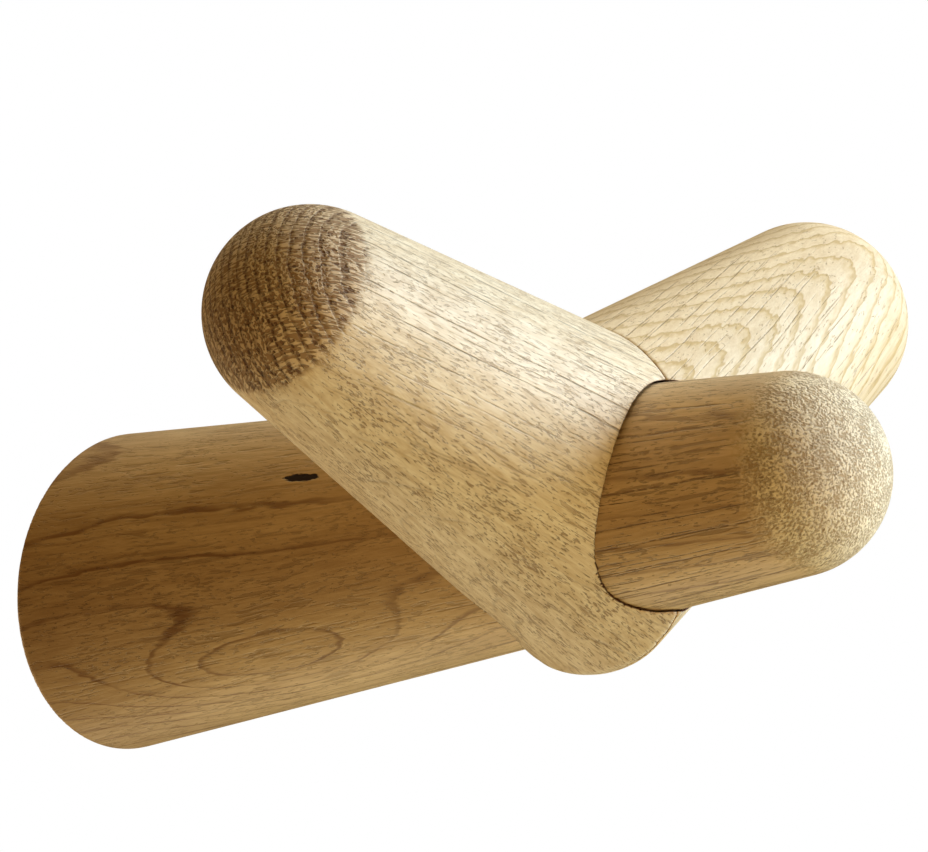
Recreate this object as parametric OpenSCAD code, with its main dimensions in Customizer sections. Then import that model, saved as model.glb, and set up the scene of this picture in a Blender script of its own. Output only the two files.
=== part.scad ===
// Wall hook: a tapered stem that leans slightly upwards and carries a fork of two tapered
// arms, mitred together round it. The wall's face is the plane y = 0 and the hook stands
// out along -Y. The origin is the centre of the stem's back face, on the axis of its bolt.

/* [Stem] */
// Length along the stem's own axis, from the wall to the tip of its dome
stem_length = 100; // [90:1:110]
// Radius of the stem's taper at the wall
stem_base_r = 15.9; // [15:0.1:17]
// Radius of the dome on the front end
stem_dome_r = 9.7; // [9:0.1:10.5]
// Upward lean of the stem from the wall's normal, in degrees
stem_tilt = 9.25; // [0:0.25:12]

/* [Fork] */
// Distance along the stem at which the arms' axes meet
fork_at = 64; // [60:0.5:68]
// Height of that meeting point above the stem's axis
fork_rise = 1.8; // [0.5:0.1:2.5]
// Angle of each arm from straight up, in degrees
arm_splay = 64.25; // [58:0.25:68]
// Length of an arm, from the meeting point to the tip of its dome
arm_length = 48.7; // [44:0.1:56]
// Radius of an arm's taper at the meeting point
arm_root_r = 15.2; // [15:0.1:16.4]
// Radius of the dome on an arm's end
arm_dome_r = 10.1; // [9.5:0.1:11]
// Radius of the eased corner under the fork, where the two arms' undersides meet
heel_r = 2; // [1:0.1:6]

/* [Joints] */
// Width of the shadow line round the stem, at both mouths of the fork's socket
shadow_gap = 0.15; // [0.1:0.05:0.3]
// Distance from the fork's middle at which the shadow line starts
shadow_from = 9; // [7:0.5:10]
// Radius of the dowels across the mitre
dowel_r = 1.5; // [1:0.1:1.6]
// Length of the dowels
dowel_length = 12; // [8:1:14]
// Distance between the two dowels, along the stem
dowel_spacing = 8; // [6:0.5:9]

/* [Wall fixing] */
// Radius of the bolt's threads, 3 for M6
bolt_r = 3; // [3:0.5:4]
// Length of the bolt inside the hook
bolt_inside = 20; // [16:1:24]
// Length of the bolt inside the wall
bolt_outside = 38; // [30:1:50]
// Outer radius of the threaded insert
insert_r = 5; // [4.5:0.1:6]
// Length of the threaded insert
insert_length = 15; // [12:1:18]
// Radius of the insert's collar
collar_r = 6.5; // [6:0.1:8]
// Thickness of the insert's collar
collar_h = 1.5; // [1:0.1:2]
// Radius of the wall plug, that of the drilled hole
plug_r = 4; // [4:0.5:5]
// Length of the wall plug
plug_length = 40; // [32:1:52]

/* [Hidden] */

$fn = 96;
far = 150;                  // larger than the hook, for the cutting blocks
bore_spare = 2;             // blind end of a hole past what it holds
machine_pitch = 1;
machine_depth = 0.45;
wood_pitch = 2.75;
wood_core_r = bolt_r * 0.7;
drive_length = 4;           // plain stretch between the bolt's two threads
tip_length = 6;
insert_pitch = 3;
insert_depth = 0.7;
plug_ring = 10;             // solid ring at the plug's mouth
plug_slot = 1.2;
tooth_pitch = 4;
tooth_depth = 0.4;
rib_start = 0.1;            // where a thread's or tooth's slope starts, lies lowest and ends,
rib_middle = 0.5;           // in parts of its pitch
rib_end = 0.9;
dowel_drop = 0.5;           // of the dowels below the middle of the wood above the stem
socket_reach = 1.5;         // length of the socket each way, in root radii of an arm

// Angle of a taper that meets its end's dome without a crease
function taper_angle(length, root_r, dome_r) =
    acos(dome_r / norm([root_r, length - dome_r])) - atan2(length - dome_r, root_r);

stem_taper = taper_angle(stem_length, stem_base_r, stem_dome_r);
arm_taper = taper_angle(arm_length, arm_root_r, arm_dome_r);

function stem_r_at(distance) = stem_base_r - distance * tan(stem_taper);

// The heel is a round that touches the underside of both arms. It turns about an axis
// along Y below the meeting point, as wide there as the arms are.
heel_half_angle = 90 - arm_splay + arm_taper;
corner_drop = arm_root_r * cos(arm_taper) / cos(heel_half_angle);
heel_drop = corner_drop - heel_r / cos(heel_half_angle);
arm_r_at_heel = arm_root_r + heel_drop * cos(arm_splay) * tan(arm_taper);
heel_half_width = sqrt(pow(arm_r_at_heel, 2) - pow(heel_drop * sin(arm_splay), 2));
heel_section_r = (pow(heel_r, 2) + pow(heel_half_width, 2)) / (2 * heel_r);

fork_top = fork_rise + arm_root_r * cos(arm_taper) / sin(arm_splay + arm_taper);
dowel_z = (stem_r_at(fork_at) + fork_top) / 2 - dowel_drop;

// Puts children drawn along +Z onto the stem's axis, from the origin outwards
module along_stem() {
    rotate([90 - stem_tilt, 0, 0]) children();
}

// Puts children drawn round the fork's meeting point, with the stem along -Y, in place
module at_fork() {
    rotate([-stem_tilt, 0, 0]) translate([0, -fork_at, 0]) children();
}

// A rod along +Z that tapers to a dome, continued backwards at the same taper
module domed_taper(length, root_r, dome_r, back) {
    slope = taper_angle(length, root_r, dome_r);
    dome_at = length - dome_r;
    translate([0, 0, -back])
        cylinder(h = back + dome_at + dome_r * sin(slope), r1 = root_r + back * tan(slope),
                 r2 = dome_r * cos(slope));
    translate([0, 0, dome_at])
        sphere(r = dome_r);
}

// The stem's taper alone, made thicker by extra, between two distances along the stem
module stem_cone(from, to, extra = 0) {
    translate([0, 0, from])
        cylinder(h = to - from, r1 = stem_r_at(from) + extra, r2 = stem_r_at(to) + extra);
}

// The left arm's side of the plane through the heel's axis where the arm touches the heel
module past_heel_plane() {
    translate([0, 0, fork_rise - heel_drop])
        rotate([0, heel_half_angle, 0])
            translate([-far, -far / 2, -far / 2])
                cube(far);
}

// The heel's whole round
module heel() {
    translate([0, 0, fork_rise - heel_drop])
        rotate([90, 0, 0])
            rotate_extrude()
                intersection() {
                    translate([heel_r - heel_section_r, 0]) circle(r = heel_section_r);
                    translate([0, -far / 2]) square([far / 2, far]);
                }
}

// The fork's left half, which the right half mirrors
module arm() {
    difference() {
        union() {
            intersection() {
                translate([0, 0, fork_rise])
                    rotate([0, -arm_splay, 0])
                        domed_taper(arm_length, arm_root_r, arm_dome_r, arm_root_r);
                past_heel_plane();
            }
            difference() {
                heel();
                past_heel_plane();
            }
        }
        translate([0, -far / 2, -far / 2])
            cube(far);
        translate([0, fork_at, 0])
            rotate([90, 0, 0])
                socket();
        dowels(dowel_length + 1);
    }
}

// The hole through the fork, wider at both mouths by the shadow line
module socket() {
    rear = fork_at - arm_root_r * socket_reach;
    front = fork_at + arm_root_r * socket_reach;
    stem_cone(rear, front);
    stem_cone(rear, fork_at - shadow_from, shadow_gap);
    stem_cone(fork_at + shadow_from, front, shadow_gap);
}

module dowels(length) {
    for (y = [-dowel_spacing / 2, dowel_spacing / 2])
        translate([-length / 2, y, dowel_z])
            rotate([0, 90, 0])
                cylinder(h = length, r = dowel_r);
}

// Outline of a ringed rod from one radius to another, for rotate_extrude
function ridges(from, to, pitch, crest_r, root_r) = [
    for (z = [from : pitch : to - pitch])
        each [[crest_r, z + pitch * rib_start], [root_r, z + pitch * rib_middle],
              [crest_r, z + pitch * rib_end]]
];

module stem() {
    color("peru")
        difference() {
            along_stem() domed_taper(stem_length, stem_base_r, stem_dome_r, stem_base_r / 2);
            translate([-far / 2, 0, -far / 2]) cube(far);
            rotate([90, 0, 0]) {
                translate([0, 0, -1]) cylinder(h = collar_h + 1, r = collar_r);
                cylinder(h = insert_length, r = insert_r);
                cylinder(h = bolt_inside + bore_spare, r = bolt_r);
            }
        }
}

module left_arm() {
    color("burlywood") at_fork() arm();
}

module right_arm() {
    color("wheat") mirror([1, 0, 0]) at_fork() arm();
}

module mitre_dowels() {
    color("tan") at_fork() dowels(dowel_length);
}

module threaded_insert() {
    outline = concat(
        [[bolt_r, 0], [collar_r, 0], [collar_r, collar_h], [insert_r, collar_h]],
        ridges(collar_h, insert_length, insert_pitch, insert_r, insert_r - insert_depth),
        [[insert_r, insert_length], [bolt_r, insert_length]]
    );
    color("goldenrod")
        rotate([90, 0, 0]) rotate_extrude() polygon(outline);
}

// Machine thread in the hook, wood screw thread with a point in the wall
module hanger_bolt() {
    outline = concat(
        [[0, -bolt_inside], [bolt_r - machine_depth, -bolt_inside]],
        ridges(-bolt_inside, 0, machine_pitch, bolt_r, bolt_r - machine_depth),
        [[bolt_r, 0], [bolt_r, drive_length]],
        ridges(drive_length, bolt_outside - tip_length, wood_pitch, bolt_r, wood_core_r),
        [[wood_core_r, bolt_outside - tip_length], [0, bolt_outside]]
    );
    color("silver")
        rotate([-90, 0, 0]) rotate_extrude() polygon(outline);
}

// Solid ring at the mouth, then four toothed legs that the bolt spreads
module wall_plug() {
    outline = concat(
        [[bolt_r, 0], [plug_r, 0], [plug_r, plug_ring]],
        ridges(plug_ring, plug_length, tooth_pitch, plug_r, plug_r - tooth_depth),
        [[plug_r - tooth_depth, plug_length], [bolt_r, plug_length]]
    );
    color("gainsboro")
        rotate([-90, 0, 0])
            difference() {
                rotate_extrude() polygon(outline);
                for (turn = [0, 90])
                    rotate([0, 0, turn])
                        translate([-plug_slot / 2, -far / 2, plug_ring])
                            cube([plug_slot, far, far]);
            }
}

stem();
left_arm();
right_arm();
mitre_dowels();
threaded_insert();
hanger_bolt();
wall_plug();
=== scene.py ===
"""Looks for the wooden wall hook: procedural oak, the hidden fixings, a white stage, soft light.

Lengths are in metres, unless a name ends in _mm. The hook stands out of the wall along -Y and
the wall's face is the plane y = 0.
"""
import math

import bpy
import numpy as np
from mathutils import Matrix, Vector


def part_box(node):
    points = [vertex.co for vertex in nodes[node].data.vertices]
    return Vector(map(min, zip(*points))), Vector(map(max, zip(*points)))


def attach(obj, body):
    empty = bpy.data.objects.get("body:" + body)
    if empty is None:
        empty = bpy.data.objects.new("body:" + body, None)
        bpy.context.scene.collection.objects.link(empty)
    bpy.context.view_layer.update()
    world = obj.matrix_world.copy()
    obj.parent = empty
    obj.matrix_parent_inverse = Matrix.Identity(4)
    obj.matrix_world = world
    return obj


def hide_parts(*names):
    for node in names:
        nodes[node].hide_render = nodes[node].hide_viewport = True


MM = 0.001

# The CAD model's driving dimensions, in metres and radians
STEM_LENGTH = 100 * MM
STEM_BASE_R = 15.9 * MM
STEM_DOME_R = 9.7 * MM
STEM_TILT = math.radians(9.25)
FORK_AT = 64 * MM
FORK_RISE = 1.8 * MM
ARM_SPLAY = math.radians(64.25)
ARM_LENGTH = 48.7 * MM
ARM_ROOT_R = 15.2 * MM
ARM_DOME_R = 10.1 * MM
HEEL_R = 2 * MM
SHADOW_GAP = 0.15 * MM
SHADOW_FROM = 9 * MM
DOWEL_R = 1.5 * MM
DOWEL_HOLE = 13 * MM
DOWEL_SPACING = 8 * MM
DOWEL_DROP = 0.5 * MM
INSERT_R = 5 * MM
INSERT_LENGTH = 15 * MM
COLLAR_R = 6.5 * MM
COLLAR_H = 1.5 * MM
BOLT_R = 3 * MM
BOLT_BORE = 22 * MM

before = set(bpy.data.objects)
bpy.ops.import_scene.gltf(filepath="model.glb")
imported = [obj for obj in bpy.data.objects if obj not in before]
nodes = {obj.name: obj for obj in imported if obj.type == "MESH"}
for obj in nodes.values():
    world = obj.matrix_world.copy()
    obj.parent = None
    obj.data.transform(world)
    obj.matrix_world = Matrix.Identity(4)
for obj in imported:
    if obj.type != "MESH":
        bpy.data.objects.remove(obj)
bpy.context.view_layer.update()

STEM_AXIS = Vector((0, -math.cos(STEM_TILT), math.sin(STEM_TILT)))
STEM_UP = Vector((0, math.sin(STEM_TILT), math.cos(STEM_TILT)))
FORK = STEM_AXIS * FORK_AT + STEM_UP * FORK_RISE


def arm_axis(side):
    """Direction of an arm, side -1 for the left one and 1 for the right one."""
    return Vector((side * math.sin(ARM_SPLAY), 0, 0)) + STEM_UP * math.cos(ARM_SPLAY)


def taper_angle(length, root_r, dome_r):
    """Angle of a taper that meets its end's dome without a crease."""
    return (math.acos(dome_r / math.hypot(root_r, length - dome_r))
            - math.atan2(length - dome_r, root_r))


STEM_SLOPE = taper_angle(STEM_LENGTH, STEM_BASE_R, STEM_DOME_R)
ARM_SLOPE = taper_angle(ARM_LENGTH, ARM_ROOT_R, ARM_DOME_R)


# ---------------------------------------------------------------- camera, light, stage

CAMERA_AT = Vector((-515.6, -545.5, 28.8)) * MM
AIM = Vector((-4.04, -50.61, 18.01)) * MM
CAMERA_ROLL = math.radians(1.25)
LENS_MM = 285.8
SENSOR_MM = 36.0
CLIP_START = 0.01
LIGHT_DISTANCE = 0.6
LIGHT_SIZE = 0.35
WALL_CARD_SIZE = (30 * MM, 16 * MM)         # just hides the bolt and plug from this camera
WALL_CARD_AT = (-27 * MM, 0.2 * MM, 1 * MM)
FLOOR_SIZE = (3.0, 3.0)
FLOOR_AT = (0, 0, -0.4)
# azimuth in degrees from the camera, turning right, then elevation, then watts of red, green, blue
LIGHTS = {
    "key_right": (90, 20, (4.3, 5.15, 6.1)),
    "right_front": (45, 20, (0.68, 0.56, 0.23)),
    "warm_front": (0, -20, (1.25, 0.8, 0.33)),
    "bounce_right": (90, -60, (1.3, 1.38, 0.92)),
    "bounce_back": (180, -60, (0.82, 0.76, 0.59)),
    "back_left": (225, -20, (1.35, 0.95, 0.48)),
    "top_back": (180, 55, (1.46, 1.48, 1.18)),
    "top_left": (240, 55, (0.92, 0.59, 0.2)),
}


def make_camera():
    data = bpy.data.cameras.new("camera")
    data.sensor_fit = "HORIZONTAL"
    data.sensor_width = SENSOR_MM
    data.lens = LENS_MM
    data.clip_start = CLIP_START
    camera = bpy.data.objects.new("camera", data)
    bpy.context.scene.collection.objects.link(camera)
    turn = (AIM - CAMERA_AT).to_track_quat("-Z", "Y").to_matrix().to_4x4()
    camera.matrix_world = Matrix.Translation(CAMERA_AT) @ turn @ Matrix.Rotation(CAMERA_ROLL, 4, "Z")
    bpy.context.scene.camera = camera


def area_light(name, azimuth, elevation, watts):
    """A square soft light that stands round the hook and faces it."""
    to_camera = CAMERA_AT - AIM
    heading = math.atan2(to_camera.y, to_camera.x) + math.radians(azimuth)
    rise = math.radians(elevation)
    towards = Vector((math.cos(heading) * math.cos(rise), math.sin(heading) * math.cos(rise),
                      math.sin(rise)))
    data = bpy.data.lights.new(name, "AREA")
    data.size = LIGHT_SIZE
    data.energy = max(watts)
    data.color = [value / max(watts) for value in watts]
    light = bpy.data.objects.new(name, data)
    bpy.context.scene.collection.objects.link(light)
    light.location = AIM + towards * LIGHT_DISTANCE
    light.rotation_euler = (AIM - light.location).to_track_quat("-Z", "Y").to_euler()


# ---------------------------------------------------------------- shader nodes

class Tree:
    """Short ways to add shader nodes. Every method returns an output socket."""

    def __init__(self, tree):
        self.tree = tree

    def add(self, kind, **settings):
        node = self.tree.nodes.new(kind)
        for name, value in settings.items():
            setattr(node, name, value)
        return node

    def put(self, socket, value):
        if isinstance(value, bpy.types.NodeSocket):
            self.tree.links.new(value, socket)
        else:
            socket.default_value = value

    def math(self, operation, *values, clamp=False):
        node = self.add("ShaderNodeMath", operation=operation, use_clamp=clamp)
        for socket, value in zip(node.inputs, values):
            self.put(socket, value)
        return node.outputs[0]

    def plus(self, a, b):
        return self.math("ADD", a, b)

    def minus(self, a, b):
        return self.math("SUBTRACT", a, b)

    def times(self, a, b):
        return self.math("MULTIPLY", a, b)

    def dot(self, a, b):
        node = self.add("ShaderNodeVectorMath", operation="DOT_PRODUCT")
        self.put(node.inputs[0], a)
        self.put(node.inputs[1], b)
        return node.outputs["Value"]

    def scaled(self, vector, factor):
        node = self.add("ShaderNodeVectorMath", operation="SCALE")
        self.put(node.inputs[0], vector)
        self.put(node.inputs["Scale"], factor)
        return node.outputs[0]

    def combine(self, x, y, z):
        node = self.add("ShaderNodeCombineXYZ")
        for socket, value in zip(node.inputs, (x, y, z)):
            self.put(socket, value)
        return node.outputs[0]

    def split(self, vector):
        node = self.add("ShaderNodeSeparateXYZ")
        self.put(node.inputs[0], vector)
        return node.outputs

    def cells(self, x, y, z, size_x, size_y, size_z, shift=0.0):
        """The point x, y, z in units of the three sizes."""
        return self.combine(self.math("MULTIPLY_ADD", x, 1 / size_x, shift),
                            self.math("MULTIPLY_ADD", y, 1 / size_y, -shift),
                            self.math("MULTIPLY_ADD", z, 1 / size_z, shift))

    def noise(self, vector, detail=2.0, output="Fac"):
        node = self.add("ShaderNodeTexNoise")
        self.put(node.inputs["Vector"], vector)
        node.inputs["Scale"].default_value = 1.0
        node.inputs["Detail"].default_value = detail
        return node.outputs[output]

    def voronoi(self, vector):
        """(distance to the nearest point, a random number of that point)"""
        node = self.add("ShaderNodeTexVoronoi")
        self.put(node.inputs["Vector"], vector)
        node.inputs["Scale"].default_value = 1.0
        return node.outputs["Distance"], self.split(node.outputs["Color"])[0]

    def random(self, value):
        node = self.add("ShaderNodeTexWhiteNoise", noise_dimensions="1D")
        self.put(node.inputs["W"], value)
        return node.outputs["Value"]

    def ramp(self, value, low, high, out_low=0.0, out_high=1.0):
        node = self.add("ShaderNodeMapRange", interpolation_type="SMOOTHSTEP")
        for socket, number in zip(node.inputs, (value, low, high, out_low, out_high)):
            self.put(socket, number)
        return node.outputs[0]

    def mix(self, factor, a, b, blend="MIX"):
        node = self.add("ShaderNodeMix", data_type="RGBA", blend_type=blend)
        self.put(node.inputs[0], factor)
        self.put(node.inputs[6], a)
        self.put(node.inputs[7], b)
        return node.outputs[2]

    def blend(self, factor, a, b):
        node = self.add("ShaderNodeMix", data_type="FLOAT")
        self.put(node.inputs[0], factor)
        self.put(node.inputs[2], a)
        self.put(node.inputs[3], b)
        return node.outputs[0]


def new_material(name):
    material = bpy.data.materials.new(name)
    material.use_nodes = True
    return material, Tree(material.node_tree), material.node_tree.nodes["Principled BSDF"]


# ---------------------------------------------------------------- oak

QUICK_WANDER_MM = 0.8       # small waves of the fibres, on top of each piece's own slow wander
OAK_SPECULAR = 0.3
MITRE_LINE = (0.3, 0.17, 0.08, 1)
# painted shade for the narrow groove round the stem
STEM_GROOVE_SHADE = (0.1, 0.035, 0.015, 1)
CRACK = (0.02, 0.008, 0.005, 1)


class Oak:
    """The figure of one piece of solid oak, as shader nodes.

    u runs towards the bark, v across the rays and w along the fibres, all in mm from origin.
    The growth rings are cylinders round a pith that lies pith_mm away on the far side of the bark.
    """

    def __init__(self, name, grain, bark, origin, pith_mm, ring_mm, wander_mm, seed):
        self.material, self.t, self.shader = new_material(name)
        t = self.t
        self.seed = seed
        self.grain = grain.normalized()
        bark = (bark - self.grain * bark.dot(self.grain)).normalized()
        place = t.add("ShaderNodeVectorMath", operation="SUBTRACT")
        t.put(place.inputs[0], t.add("ShaderNodeTexCoord").outputs["Object"])
        t.put(place.inputs[1], origin)
        self.place = place.outputs[0]
        u, v, w = (t.dot(self.place, axis / MM)
                   for axis in (bark, self.grain.cross(bark), self.grain))
        slow = t.split(t.noise(t.cells(u, v, w, 26, 26, 60, seed), 1.0, "Color"))
        quick = t.split(t.noise(t.cells(u, v, w, 5, 5, 16, seed), 2.0, "Color"))
        self.u, self.v = (
            t.plus(axis, t.plus(t.times(t.minus(slow[k], 0.5), wander_mm),
                                t.times(t.minus(quick[k], 0.5), QUICK_WANDER_MM)))
            for k, axis in enumerate((u, v)))
        self.w = w
        out = t.plus(self.u, pith_mm)
        radius = t.math("SQRT", t.plus(t.times(out, out), t.times(self.v, self.v)))
        self.turn_mm = t.times(t.math("ARCTAN2", self.v, out), pith_mm)
        self.radius_mm = radius
        self.ring_mm = ring_mm
        self.rings = t.times(t.minus(radius, pith_mm), 1 / ring_mm)

    def shift_rings(self, rings):
        self.rings = self.t.plus(self.rings, rings)

    def bump_rings(self, along_mm, out_mm, long_mm, high_mm, rings):
        """Lifts the rings in a rounded hill, whose cut leaves a closed eye in the figure."""
        t = self.t
        x = t.times(t.minus(self.w, along_mm), 1 / long_mm)
        y = t.times(t.minus(self.u, out_mm), 1 / high_mm)
        hill = t.math("EXPONENT", t.times(t.plus(t.times(x, x), t.times(y, y)), -1.0))
        self.rings = t.plus(self.rings, t.times(hill, rings))

    def ridge_rings(self, across, wide_mm, rings):
        """Lifts the rings in a long ridge, whose cut draws them out into narrow arches."""
        t = self.t
        x = t.dot(self.place, across / (wide_mm * MM))
        self.rings = t.plus(self.rings, t.times(
            t.math("EXPONENT", t.times(t.times(x, x), -1.0)), rings))

    def sweep_rings(self, length_mm, rings, per_mm):
        """Runs the rings out of the piece near its foot, and tilts them by per_mm all along."""
        t = self.t
        foot = t.times(t.math("EXPONENT", t.times(self.w, -1 / length_mm)), rings)
        self.rings = t.plus(self.rings, t.plus(foot, t.times(self.w, per_mm)))

    def ring_lines(self, jag, line_share, early_share):
        """(thin dark line, soft earlywood band after it), each 0 to 1."""
        t = self.t
        rough = t.noise(t.cells(self.u, self.v, self.w, 0.6, 0.6, 5, self.seed + 3), 1.0)
        part = t.math("FRACT", t.plus(self.rings, t.times(t.minus(rough, 0.5), jag)))
        line = t.times(t.ramp(part, 0.0, line_share * 0.3),
                       t.ramp(part, line_share * 0.4, line_share, 1.0, 0.0))
        band = t.times(t.ramp(part, 0.0, 0.1), t.ramp(part, 0.1, early_share, 1.0, 0.0))
        return line, band

    def hairlines(self, spacing_mm, length_mm, width_mm, share, shift, across=None):
        """Thin broken lines along the fibres: rays that the surface cuts edge-on.

        They lie side by side round the pith, or over across where it is given.
        """
        t = self.t
        place = t.math("MULTIPLY_ADD", across or self.turn_mm, 1 / spacing_mm, shift)
        column = t.math("FLOOR", place)
        middle = t.math("MULTIPLY_ADD", t.random(column), 0.5, 0.25)
        length = t.noise(t.combine(t.times(column, 7.31), t.times(self.radius_mm, 0.11),
                                   t.math("MULTIPLY_ADD", self.w, 1 / length_mm, shift)), 1.0)
        width = t.ramp(length, 0.62 - 0.4 * share, 0.85 - 0.4 * share, 0.0, width_mm / 2)
        gap = t.times(t.math("ABSOLUTE", t.minus(t.math("FRACT", place), middle)), spacing_mm)
        broken = t.noise(t.cells(self.u, self.v, self.w, 0.3, 0.3, 1.1, self.seed + shift), 2.0)
        line = t.times(t.ramp(t.minus(gap, width), -0.07, 0.03, 1.0, 0.0),
                       t.ramp(width, 0.0, 0.03))
        return t.times(line, t.ramp(broken, 0.36, 0.54, 0.3, 1.0))

    def dashes(self, width_mm, length_mm, level, group_mm, gather, shift=0.0):
        """Short irregular dark strokes along the fibres, in loose groups."""
        t = self.t
        group = t.noise(t.cells(self.u, self.v, self.w, group_mm, group_mm, group_mm * 3,
                                self.seed + shift + 2), 2.0)
        fine = t.noise(t.cells(self.u, self.v, self.w, width_mm, width_mm, length_mm,
                               self.seed + shift), 2.0)
        return t.ramp(t.plus(fine, t.times(t.minus(group, 0.5), gather)), level, level + 0.055)

    def vessels(self, cell_mm, length_mm, size, share, shift=0.0):
        """Cut vessels: short dashes along the fibres, round pores on the end grain."""
        t = self.t
        far, lot = t.voronoi(t.cells(self.u, self.v, self.w, cell_mm, cell_mm, length_mm,
                                     self.seed + shift))
        there = t.ramp(t.minus(share, lot), 0.0, 0.15)
        return t.times(there, t.ramp(far, size - 0.07, size + 0.07, 1.0, 0.0))

    def slit(self, along_mm, out_mm, long_mm, high_mm, fall):
        """A small ragged crack on the side that v points to. fall turns it off the fibres."""
        t = self.t
        x = t.times(t.minus(self.w, along_mm), 2 / long_mm)
        y = t.plus(t.times(t.minus(self.u, out_mm), 2 / high_mm), t.times(x, fall))
        rough = t.noise(t.cells(self.u, self.v, self.w, 0.3, 0.3, 0.9, self.seed + 5), 2.0)
        far = t.plus(t.plus(t.times(x, x), t.times(y, y)), t.times(t.minus(rough, 0.5), 1.6))
        return t.times(t.ramp(far, 0.7, 1.1, 1.0, 0.0), t.ramp(self.v, 0.0, 1.0))

    def end_grain(self, start, full, from_mm, blur=0.25):
        """How much the fibres are cut across, 0 to 1, past a distance along the piece."""
        t = self.t
        normal = t.add("ShaderNodeNewGeometry").outputs["Normal"]
        facing = t.math("ABSOLUTE", t.dot(normal, self.grain))
        ragged = t.noise(t.cells(self.u, self.v, self.w, 0.7, 0.7, 3, self.seed), 2.0)
        cut = t.ramp(t.plus(facing, t.times(t.minus(ragged, 0.5), blur)), start, full)
        return t.times(cut, t.ramp(self.w, from_mm - 1, from_mm))

    def height_of(self, direction, low_mm, high_mm):
        """0 to 1 over a stretch along a direction, measured from the piece's origin."""
        return self.t.ramp(self.t.dot(self.place, direction.normalized() / MM), low_mm, high_mm)

    def with_mitre_line_and_groove_shade(self, colour):
        """An arm's colour with painted shade as a dark line round the stem and a thin line at the mitre.
        """
        t = self.t
        point = t.add("ShaderNodeTexCoord").outputs["Object"]
        along = t.dot(point, STEM_AXIS / MM)
        out = t.math("SQRT", t.minus(t.dot(point, t.scaled(point, 1 / MM ** 2)),
                                     t.times(along, along)))
        gap = t.minus(t.plus(out, t.times(along, math.tan(STEM_SLOPE))), STEM_BASE_R / MM)
        rough = t.noise(t.scaled(point, 1 / (0.8 * MM)), 2.0)
        # painted shade: the arm darkened within about 0.3 mm of the stem, in the groove at the socket's
        # mouth
        painted_groove_shade = t.ramp(t.plus(gap, t.times(rough, 0.06)), 0.22, 0.32, 1.0, 0.0)
        aside = t.math("ABSOLUTE", t.split(point)[0])
        mitre = t.ramp(t.plus(t.times(aside, 1 / MM), t.times(rough, 0.1)), 0.08, 0.2, 1.0, 0.0)
        colour = t.mix(t.times(mitre, 0.75), colour, MITRE_LINE)
        return t.mix(painted_groove_shade, colour, STEM_GROOVE_SHADE)

    def finish(self, colour, roughness, height, depth_mm):
        t = self.t
        t.put(self.shader.inputs["Base Color"], colour)
        t.put(self.shader.inputs["Roughness"], roughness)
        self.shader.inputs["Specular IOR Level"].default_value = OAK_SPECULAR
        bump = t.add("ShaderNodeBump")
        bump.inputs["Strength"].default_value = 1.0
        bump.inputs["Distance"].default_value = depth_mm * MM
        t.put(bump.inputs["Height"], height)
        t.put(self.shader.inputs["Normal"], bump.outputs[0])
        return self.material


def soft_streaks(oak, pale, dark, fine, middle, broad):
    """(colour between pale and dark in fibre streaks of three sizes, height of the fibres)"""
    t = oak.t
    fibre = t.noise(t.cells(oak.u, oak.v, oak.w, 0.17, 0.17, 7, oak.seed), 3.0)
    strand = t.noise(t.cells(oak.u, oak.v, oak.w, 0.55, 0.55, 14, oak.seed), 2.0)
    cloud = t.noise(t.cells(oak.u, oak.v, oak.w, 3.5, 3.5, 30, oak.seed), 2.0)
    shade = t.plus(t.times(t.minus(fibre, 0.5), fine),
                   t.plus(t.times(t.minus(strand, 0.5), middle),
                          t.times(t.minus(cloud, 0.5), broad)))
    return t.mix(t.ramp(shade, -0.5, 0.5), pale, dark), fibre


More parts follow.
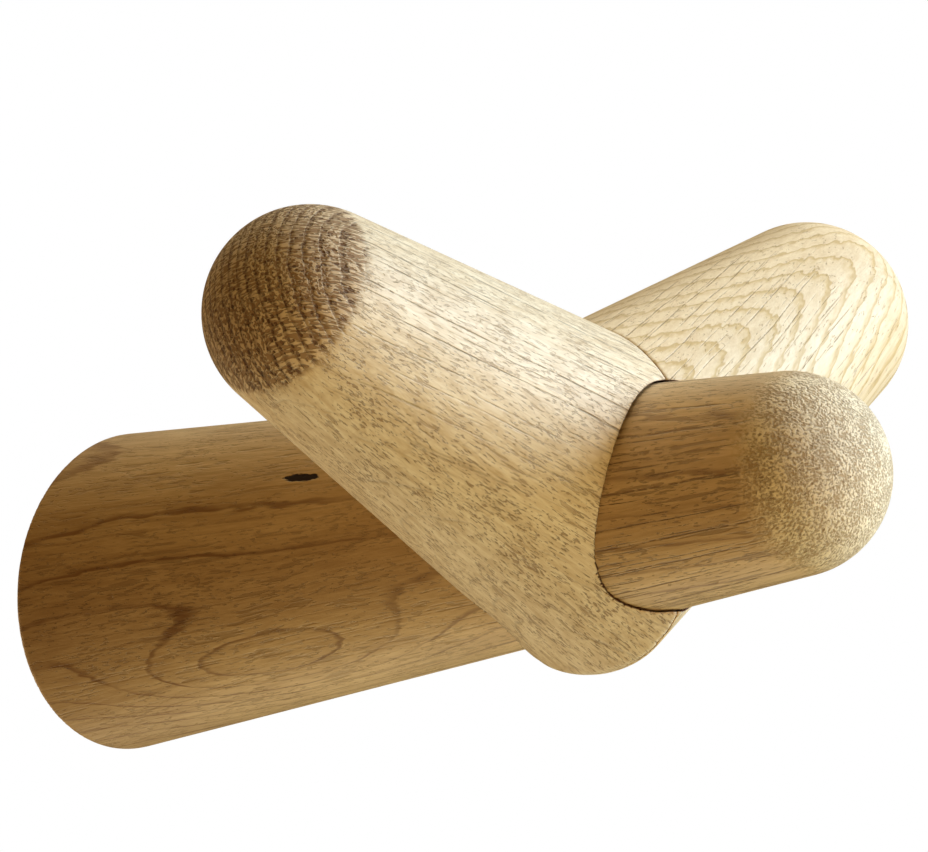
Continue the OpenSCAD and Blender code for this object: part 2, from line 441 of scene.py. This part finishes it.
def stem_oak():
    """Mid-brown oak with broad rings: sweeping lines, one eye and a pale sanded dome, with painted shade
    towards the wall and painted light along its middle.
    """
    oak = Oak("stem_oak", STEM_AXIS, STEM_UP * 0.87 - Vector((0.5, 0, 0)), Vector((0, 0, 0)),
              60, 2.95, 2.0, 3.7)
    t = oak.t
    oak.shift_rings(-0.8)
    oak.sweep_rings(12, 0.7, 0.032)
    oak.bump_rings(28, -5.0, 22, 5.6, 4.5)
    line, band = oak.ring_lines(0.2, 0.16, 0.6)
    swell = t.noise(t.cells(oak.u, oak.v, oak.w, 3, 3, 7, 5.0), 2.0)
    line = t.times(line, t.ramp(swell, 0.36, 0.6, 0.45, 1.0))
    front = t.ramp(oak.w, 48, 66)
    # foot: painted shade, strongest at the wall end and gone 26 mm out
    foot = t.ramp(oak.w, 0, 26, 1.0, 0.0)
    # the lines keep to the taper, so they draw together towards the dome
    shrink = math.tan(STEM_SLOPE) / STEM_BASE_R * MM
    fan = t.math("DIVIDE", oak.u, t.math("MULTIPLY_ADD", oak.w, -shrink, 1.0))
    hair = t.math("MAXIMUM", oak.hairlines(3.4, 34, 0.26, 0.85, 0.3, fan),
                  oak.hairlines(1.2, 7, 0.15, 0.45, 5.7, fan))
    hair = t.times(hair, t.blend(front, 0.25, 0.95))
    dash = t.math("MAXIMUM", oak.dashes(0.22, 1.3, 0.6, 2.5, 0.4),
                  oak.dashes(0.5, 9, 0.62, 4.0, 0.3, 3.0))
    slit = oak.slit(37.6, 11.7, 4.8, 0.44, 0.8)
    end = oak.end_grain(0.06, 0.5, 80)
    grit = t.noise(t.cells(oak.u, oak.v, oak.w, 0.24, 0.24, 0.4, 2.0), 4.0)
    patch = t.noise(t.cells(oak.u, oak.v, oak.w, 1.6, 1.6, 2.5, 6.0), 2.0)
    fuzz = t.ramp(t.plus(grit, t.times(t.minus(patch, 0.5), 0.35)), 0.34, 0.62)
    pore = oak.vessels(0.5, 1.6, 0.24, 0.5, 4.0)

    colour, fibre = soft_streaks(oak, (0.78, 0.55, 0.285, 1), (0.48, 0.295, 0.125, 1), 0.7, 0.9, 0.8)
    colour = t.mix(t.times(band, 0.2), colour, (0.42, 0.24, 0.09, 1))
    colour = t.mix(t.times(line, 0.85), colour, (0.24, 0.11, 0.035, 1))
    colour = t.mix(hair, colour, (0.19, 0.09, 0.035, 1))
    colour = t.mix(t.times(dash, t.blend(front, 0.35, 0.62)), colour, (0.2, 0.1, 0.035, 1))
    # painted shade: the stem darker towards the wall
    colour = t.mix(t.times(foot, 0.32), colour, (0.34, 0.17, 0.06, 1))
    # painted light: the stem paler along its middle, where the front light falls
    colour = t.mix(t.ramp(oak.w, 22, 50, 0.0, 0.16), colour, (0.95, 0.72, 0.44, 1))
    colour = t.mix(slit, colour, CRACK)
    pit = t.mix(t.ramp(oak.w, 86, 99), (0.3, 0.18, 0.085, 1), (0.58, 0.42, 0.25, 1))
    nap = t.mix(t.ramp(oak.w, 84, 96), (0.72, 0.53, 0.31, 1), (0.97, 0.81, 0.57, 1))
    sanded = t.mix(fuzz, pit, nap)
    sanded = t.mix(t.times(pore, t.ramp(oak.w, 86, 98, 0.95, 0.45)), sanded, (0.19, 0.1, 0.045, 1))
    colour = t.mix(end, colour, sanded)
    height = t.minus(t.times(fibre, 0.3), t.math("MAXIMUM", hair, t.times(dash, 0.5)))
    height = t.minus(t.blend(end, height, t.times(fuzz, 1.3)), slit)
    dull = t.math("MAXIMUM", end, slit)
    return oak.finish(colour, t.blend(dull, 0.5, 0.85), height, 0.1)


def left_arm_oak():
    """Cream oak with painted light on its upper side, long hairlines above, short dashes below and a
    dark end-grain dome.
    """
    oak = Oak("left_arm_oak", arm_axis(-1), Vector((0.129, -0.899, 0.415)), FORK, 45, 1.05, 1.6, 11.2)
    t = oak.t
    _, band = oak.ring_lines(0.3, 0.2, 0.55)
    # the upper side: painted light makes it paler, and its hairlines are longer
    upper_lit_side = oak.height_of(Vector((0.379, -0.373, 0.847)), -5, 5)
    hair = t.math("MAXIMUM", oak.hairlines(1.7, 16, 0.15, 0.55, 0.3),
                  t.times(oak.hairlines(0.8, 7, 0.11, 0.5, 5.7), 0.8))
    hair = t.times(hair, t.blend(upper_lit_side, 0.4, 0.8))
    dash = oak.dashes(0.16, 1.9, 0.615, 1.8, 0.35)
    speck = oak.dashes(0.2, 0.8, 0.65, 3.0, 0.6, 8.0)
    long_dash = oak.dashes(0.34, 8, 0.63, 3.0, 0.35, 3.0)
    stroke = t.math("MAXIMUM", t.math("MAXIMUM", dash, speck), t.times(long_dash, 0.7))
    fleck = t.noise(t.cells(oak.u, oak.v, oak.w, 3.0, 1.1, 2.6, 17.0), 2.0)
    fleck = t.times(t.ramp(fleck, 0.55, 0.6), t.ramp(fleck, 0.62, 0.7, 1.0, 0.0))
    end = oak.end_grain(0.22, 0.34, 34.5, 0.16)
    pore = oak.vessels(0.36, 1.6, 0.42, t.plus(0.3, t.times(band, 0.6)), 4.0)
    worm = t.noise(t.cells(oak.u, oak.v, oak.w, 0.26, 0.26, 1.5, 4.0), 1.0)
    ladder = t.noise(t.cells(oak.u, oak.v, oak.w, 0.8, 0.17, 1.5, 6.0), 1.0)
    kind = t.noise(t.cells(oak.u, oak.v, oak.w, 5, 5, 9, 9.0), 1.0)
    ridge = t.ramp(t.blend(t.ramp(kind, 0.42, 0.56), worm, ladder), 0.44, 0.56)

    colour, fibre = soft_streaks(oak, (0.95, 0.80, 0.58, 1), (0.68, 0.50, 0.29, 1), 1.0, 1.2, 0.6)
    # painted light: the upper side paler, as lit from above and the right
    colour = t.mix(t.times(upper_lit_side, 0.3), colour, (0.97, 0.86, 0.68, 1))
    colour = t.mix(t.times(band, 0.2), colour, (0.62, 0.44, 0.24, 1))
    colour = t.mix(t.times(fleck, 0.25), colour, (0.55, 0.38, 0.2, 1))
    colour = t.mix(hair, colour, (0.26, 0.18, 0.11, 1))
    colour = t.mix(t.times(stroke, t.blend(upper_lit_side, 0.62, 0.34)), colour, (0.26, 0.13, 0.05, 1))
    cut = t.mix(ridge, (0.38, 0.24, 0.13, 1), (0.76, 0.58, 0.38, 1))
    cut = t.mix(t.times(band, 0.6), cut, (0.26, 0.15, 0.075, 1))
    cut = t.mix(t.times(pore, 0.7), cut, (0.13, 0.055, 0.025, 1))
    colour = t.mix(end, colour, cut)
    # painted shade in the groove round the stem, and the mitre line
    colour = oak.with_mitre_line_and_groove_shade(colour)
    height = t.minus(t.times(fibre, 0.35), t.math("MAXIMUM", hair, t.times(stroke, 0.6)))
    height = t.blend(end, height, t.minus(ridge, t.plus(t.times(band, 0.7), pore)))
    return oak.finish(colour, t.blend(end, 0.5, 0.75), height, 0.12)


def right_arm_oak():
    """Pale oak whose fibres lean to the arm, so that its rings show as nested arches."""
    axis = arm_axis(1)
    face = Vector((-0.241, -0.746, 0.621))
    lean = math.radians(12.5)
    bark = face * math.cos(lean) - axis * math.sin(lean)
    grain = Matrix.Rotation(math.radians(9), 3, bark) @ (axis * math.cos(lean) + face * math.sin(lean))
    oak = Oak("right_arm_oak", grain, bark, FORK + axis * 30 * MM, 45, 1.75, 1.8, 23.5)
    t = oak.t
    oak.ridge_rings(axis.cross(face), 4.5, 2.3)
    line, band = oak.ring_lines(0.7, 0.26, 0.5)
    side = t.ramp(oak.w, 0, 9, 1.0, 0.15)
    hair = t.math("MAXIMUM", oak.hairlines(1.2, 9, 0.12, 0.6, 0.3),
                  t.times(oak.hairlines(0.8, 4, 0.10, 0.5, 5.7), 0.7))
    hair = t.times(hair, t.times(side, 0.7))
    dash = oak.dashes(0.26, 1.6, 0.65, 1.8, 0.35)
    end = oak.end_grain(0.45, 0.9, 4)
    colour, fibre = soft_streaks(oak, (0.93, 0.76, 0.53, 1), (0.75, 0.56, 0.34, 1), 0.8, 0.9, 0.5)
    colour = t.mix(t.times(band, 0.7), colour, (0.66, 0.46, 0.2, 1))
    colour = t.mix(t.times(line, 0.36), colour, (0.5, 0.32, 0.13, 1))
    colour = t.mix(hair, colour, (0.36, 0.25, 0.15, 1))
    colour = t.mix(t.times(dash, 0.35), colour, (0.42, 0.26, 0.11, 1))
    colour = t.mix(t.times(end, 0.2), colour, (0.66, 0.49, 0.29, 1))
    # painted shade in the groove round the stem, and the mitre line
    colour = oak.with_mitre_line_and_groove_shade(colour)
    height = t.minus(t.times(fibre, 0.3), t.math("MAXIMUM", hair, t.times(dash, 0.5)))
    return oak.finish(colour, t.blend(end, 0.5, 0.7), height, 0.1)


# ---------------------------------------------------------------- wooden shapes

STEM_CELL = 0.36 * MM       # size of the meshes' squares
ARM_CELL = 0.3 * MM
INSET = 0.01 * MM           # keeps the meshes inside the CAD model's box
STEM_EASED = 0.5 * MM       # stretch over which two faces round into each other
ARM_EASED = 0.3 * MM
LINE_UP = 1.0 * MM          # stretch over which the arm's underside turns into the heel
SETTLE_STEPS = 4            # moves of each vertex onto its surface
ARM_ROOM = 1.3              # grid below the fork's middle, in root radii of an arm


def domed_taper(points, root, axis, length, root_r, dome_r):
    """Signed distance to a rod that tapers from root to a dome and goes on behind the root."""
    slope = taper_angle(length, root_r, dome_r)
    from_dome = points - np.array(root) - np.array(axis) * (length - dome_r)
    along = from_dome @ np.array(axis)
    out = np.linalg.norm(from_dome - along[:, None] * np.array(axis), axis=1)
    on_dome = along * math.cos(slope) > out * math.sin(slope)
    return np.where(on_dome, np.hypot(along, out),
                    along * math.sin(slope) + out * math.cos(slope)) - dome_r


def common(a, b, ease):
    """Signed distance to what two shapes have in common, with the edge between them eased."""
    near = np.maximum(ease - np.abs(a - b), 0) / ease
    return np.maximum(a, b) + near * near * ease / 4


def drilled(points, start, direction, radius, depth):
    """Signed distance to a round hole from start along direction."""
    way = np.array(direction)
    along = (points - np.array(start)) @ way
    out = np.linalg.norm(points - np.array(start) - along[:, None] * way, axis=1)
    return np.maximum(out - radius, along - depth)


def stem_shape(points):
    """Signed distance to the stem: cut flat at the wall and bored for the insert and bolt."""
    shape = domed_taper(points, (0, 0, 0), STEM_AXIS, STEM_LENGTH, STEM_BASE_R, STEM_DOME_R)
    shape = common(shape, points[:, 1], STEM_EASED)
    for radius, depth in ((COLLAR_R, COLLAR_H), (INSERT_R, INSERT_LENGTH), (BOLT_R, BOLT_BORE)):
        shape = common(shape, -drilled(points, (0, 0, 0), (0, -1, 0), radius, depth), ARM_EASED)
    return shape


def heel_shape(points):
    """(signed distance to the heel's whole round, distance past the plane where the arm meets it)"""
    half_angle = math.pi / 2 - ARM_SPLAY + ARM_SLOPE
    corner_drop = ARM_ROOT_R * math.cos(ARM_SLOPE) / math.cos(half_angle)
    drop = corner_drop - HEEL_R / math.cos(half_angle)
    arm_r = ARM_ROOT_R + drop * math.cos(ARM_SPLAY) * math.tan(ARM_SLOPE)
    half_width = math.sqrt(arm_r ** 2 - (drop * math.sin(ARM_SPLAY)) ** 2)
    section_r = (HEEL_R ** 2 + half_width ** 2) / (2 * HEEL_R)
    x, y, z = points[:, 0], points[:, 1], points[:, 2] - (FORK_RISE - drop)
    shape = np.hypot(np.hypot(x, z) - (HEEL_R - section_r), y) - section_r
    past = -x * math.cos(half_angle) + z * math.sin(half_angle)
    return shape, past


def left_arm_shape(points):
    """Signed distance to the left arm, with the stem along -Y and the fork's middle at y = 0."""
    arm = domed_taper(points, (0, 0, FORK_RISE), (-math.sin(ARM_SPLAY), 0, math.cos(ARM_SPLAY)),
                      ARM_LENGTH, ARM_ROOT_R, ARM_DOME_R)
    heel, past = heel_shape(points)
    turn = np.clip(0.5 + past / LINE_UP, 0, 1)
    turn = turn * turn * (3 - 2 * turn)
    shape = common(heel + (arm - heel) * turn, points[:, 0], ARM_EASED)
    gap = np.clip((np.abs(points[:, 1]) - SHADOW_FROM) / ARM_CELL, 0, 1) * SHADOW_GAP
    stem_r = STEM_BASE_R - (FORK_AT - points[:, 1]) * math.tan(STEM_SLOPE) + gap
    socket = (np.hypot(points[:, 0], points[:, 2]) - stem_r) * math.cos(STEM_SLOPE)
    shape = common(shape, -socket, ARM_EASED)
    fork_top = FORK_RISE + ARM_ROOT_R * math.cos(ARM_SLOPE) / math.sin(ARM_SPLAY + ARM_SLOPE)
    dowel_z = (STEM_BASE_R - FORK_AT * math.tan(STEM_SLOPE) + fork_top) / 2 - DOWEL_DROP
    for y in (-DOWEL_SPACING / 2, DOWEL_SPACING / 2):
        hole = drilled(points, (0, y, dowel_z), (-1, 0, 0), DOWEL_R, DOWEL_HOLE / 2)
        shape = np.maximum(shape, -hole)
    return shape


def slope_of(shape, points, reach):
    """Gradient of a signed distance at the points."""
    return np.stack([(shape(points + step) - shape(points - step)) / (2 * reach)
                     for step in np.eye(3) * reach], axis=1)


def surface_of(shape, low, high, cell):
    """(vertices, quads) of the surface where shape is zero, on a grid of the given cell."""
    axes = [np.arange(a - 2 * cell, b + 3 * cell, cell) for a, b in zip(low, high)]
    grid = np.stack(np.meshgrid(*axes, indexing="ij"), axis=-1)
    value = shape(grid.reshape(-1, 3)).reshape(grid.shape[:3])
    inside = value < 0
    size = [n - 1 for n in inside.shape]
    corners = [(i, j, k) for i in (0, 1) for j in (0, 1) for k in (0, 1)]

    def at(corner, field):
        i, j, k = corner
        return field[i:size[0] + i, j:size[1] + j, k:size[2] + k]

    count = sum(at(corner, inside).astype(int) for corner in corners)
    crossed = (count > 0) & (count < 8)
    number = np.full(crossed.shape, -1)
    number[crossed] = np.arange(crossed.sum())

    # each vertex starts at the mean of the points where its cell's edges cross the surface
    total = np.zeros((crossed.sum(), 3))
    hits = np.zeros(crossed.sum())
    for start in corners:
        for axis in range(3):
            if start[axis] == 0:
                end = start[:axis] + (1,) + start[axis + 1:]
                a, b = at(start, value)[crossed], at(end, value)[crossed]
                cut = (a < 0) != (b < 0)
                point = np.tile(np.array(start, float), (len(a), 1))
                point[cut, axis] = a[cut] / (a[cut] - b[cut])
                total[cut] += point[cut]
                hits[cut] += 1
    points = grid[:-1, :-1, :-1][crossed] + total / hits[:, None] * cell
    for _ in range(SETTLE_STEPS):
        slope = slope_of(shape, points, cell / 20)
        steep = np.maximum((slope ** 2).sum(1), 0.25)
        points = points - slope * ((shape(points) + INSET) / steep)[:, None]

    quads = []
    for axis in range(3):
        first = np.swapaxes(inside, 0, axis)
        cells = np.swapaxes(number, 0, axis)
        a, b, c = np.argwhere(first[1:] != first[:-1]).T
        if axis == 0:
            ring = [cells[a, b - 1, c - 1], cells[a, b, c - 1], cells[a, b, c], cells[a, b - 1, c]]
        else:
            ring = [cells[a, b - 1, c - 1], cells[a, b - 1, c], cells[a, b, c], cells[a, b, c - 1]]
        ring = np.stack(ring, axis=1)
        outwards = first[:-1][a, b, c]
        quads.append(np.where(outwards[:, None], ring, ring[:, ::-1]))
    return points, np.concatenate(quads)


def wooden_piece(name, node_name, vertices, quads, material):
    """A smooth mesh that stands for one CAD node and takes its finish."""
    mesh = bpy.data.meshes.new(name)
    mesh.from_pydata(vertices.tolist(), [], quads.tolist())
    mesh.shade_smooth()
    mesh.materials.append(material)
    piece = bpy.data.objects.new(name, mesh)
    bpy.context.scene.collection.objects.link(piece)
    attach(piece, "root")
    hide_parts(node_name)


def make_stem():
    vertices, quads = surface_of(stem_shape, *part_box("stem"), STEM_CELL)
    wooden_piece("stem_piece", "stem", vertices, quads, stem_oak())


def make_arms():
    """Both arms: one mesh in the fork's own frame, mirrored for the right arm."""
    low = (-ARM_LENGTH, -ARM_ROOT_R, FORK_RISE - ARM_ROOT_R * ARM_ROOM)
    high = (0, ARM_ROOT_R, ARM_LENGTH * math.cos(ARM_SPLAY) + ARM_ROOT_R)
    vertices, quads = surface_of(left_arm_shape, low, high, ARM_CELL)
    turn = np.array(Matrix.Rotation(-STEM_TILT, 3, "X"))
    left = (vertices - (0, FORK_AT, 0)) @ turn.T
    wooden_piece("left_arm_piece", "left_arm", left, quads, left_arm_oak())
    wooden_piece("right_arm_piece", "right_arm", left * (-1, 1, 1), quads[:, ::-1], right_arm_oak())


# ---------------------------------------------------------------- fixings and stage

def worked(name, dark, light, roughness, metallic, size, scratch=1.0):
    """A material for a small fixing: two tones in grains of a size, drawn out across the part."""
    material, t, shader = new_material(name)
    x, y, z = t.split(t.scaled(t.add("ShaderNodeTexCoord").outputs["Object"], 1 / MM))
    coarse = t.noise(t.cells(x, y, z, size * 4, size * 4, size * 4, 1.0), 3.0)
    fine = t.noise(t.cells(x, y, z, size * scratch, size, size * scratch, 4.0), 2.0)
    tone = t.plus(t.times(coarse, 0.6), t.times(fine, 0.4))
    t.put(shader.inputs["Base Color"], t.mix(t.ramp(tone, 0.35, 0.65), dark, light))
    t.put(shader.inputs["Roughness"], t.ramp(tone, 0.3, 0.7, roughness + 0.12, roughness - 0.08))
    shader.inputs["Metallic"].default_value = metallic
    bump = t.add("ShaderNodeBump")
    bump.inputs["Strength"].default_value = 0.6
    bump.inputs["Distance"].default_value = 0.03 * MM
    t.put(bump.inputs["Height"], fine)
    t.put(shader.inputs["Normal"], bump.outputs[0])
    return material


def wear(node_name, material):
    """Gives a CAD node, whose own mesh is shown, its material."""
    for slot in nodes[node_name].material_slots:
        slot.material = material


def stage_sheet(name, wide, deep, material, place, turn):
    """A sheet that only the camera sees, so that it lights and shades nothing."""
    mesh = bpy.data.meshes.new(name)
    x, y = wide / 2, deep / 2
    mesh.from_pydata([(-x, -y, 0), (x, -y, 0), (x, y, 0), (-x, y, 0)], [], [(0, 1, 2, 3)])
    mesh.materials.append(material)
    sheet = bpy.data.objects.new(name, mesh)
    bpy.context.scene.collection.objects.link(sheet)
    sheet.location = place
    sheet.rotation_euler = turn
    for ray in ("diffuse", "glossy", "transmission", "volume_scatter", "shadow"):
        setattr(sheet, "visible_" + ray, False)


def stage_white():
    """Even white on the front of a sheet, and nothing on its back."""
    material = bpy.data.materials.new("stage_white")
    material.use_nodes = True
    t = Tree(material.node_tree)
    material.node_tree.nodes.remove(material.node_tree.nodes["Principled BSDF"])
    glow = t.add("ShaderNodeEmission")
    glow.inputs["Color"].default_value = (1, 1, 1, 1)
    clear = t.add("ShaderNodeBsdfTransparent")
    both = t.add("ShaderNodeMixShader")
    t.put(both.inputs[0], t.add("ShaderNodeNewGeometry").outputs["Backfacing"])
    t.put(both.inputs[1], glow.outputs[0])
    t.put(both.inputs[2], clear.outputs[0])
    t.put(material.node_tree.nodes["Material Output"].inputs["Surface"], both.outputs[0])
    return material


# ---------------------------------------------------------------- the scene

make_camera()
for name, (azimuth, elevation, watts) in LIGHTS.items():
    area_light(name, azimuth, elevation, watts)

world = bpy.data.worlds.new("studio")
bpy.context.scene.world = world
world.use_nodes = True
sky = Tree(world.node_tree)
background = world.node_tree.nodes["Background"]
seen = sky.add("ShaderNodeLightPath").outputs["Is Camera Ray"]
sky.put(background.inputs["Color"], sky.mix(seen, (0, 0, 0, 1), (1, 1, 1, 1)))
bpy.context.scene.view_settings.view_transform = "Standard"

white = stage_white()
stage_sheet("wall", *WALL_CARD_SIZE, white, WALL_CARD_AT, (math.pi / 2, 0, 0))
stage_sheet("floor", *FLOOR_SIZE, white, FLOOR_AT, (0, 0, 0))

make_stem()
make_arms()
wear("mitre_dowels", worked("beech", (0.52, 0.34, 0.18, 1), (0.68, 0.48, 0.28, 1), 0.6, 0.0, 0.3, 0.2))
wear("threaded_insert", worked("brass", (0.36, 0.24, 0.09, 1), (0.52, 0.37, 0.16, 1), 0.38, 1.0, 0.4, 4))
wear("hanger_bolt", worked("zinc", (0.42, 0.42, 0.4, 1), (0.6, 0.6, 0.58, 1), 0.35, 1.0, 0.4, 4))
wear("wall_plug", worked("nylon", (0.34, 0.35, 0.35, 1), (0.44, 0.45, 0.45, 1), 0.6, 0.0, 0.5))
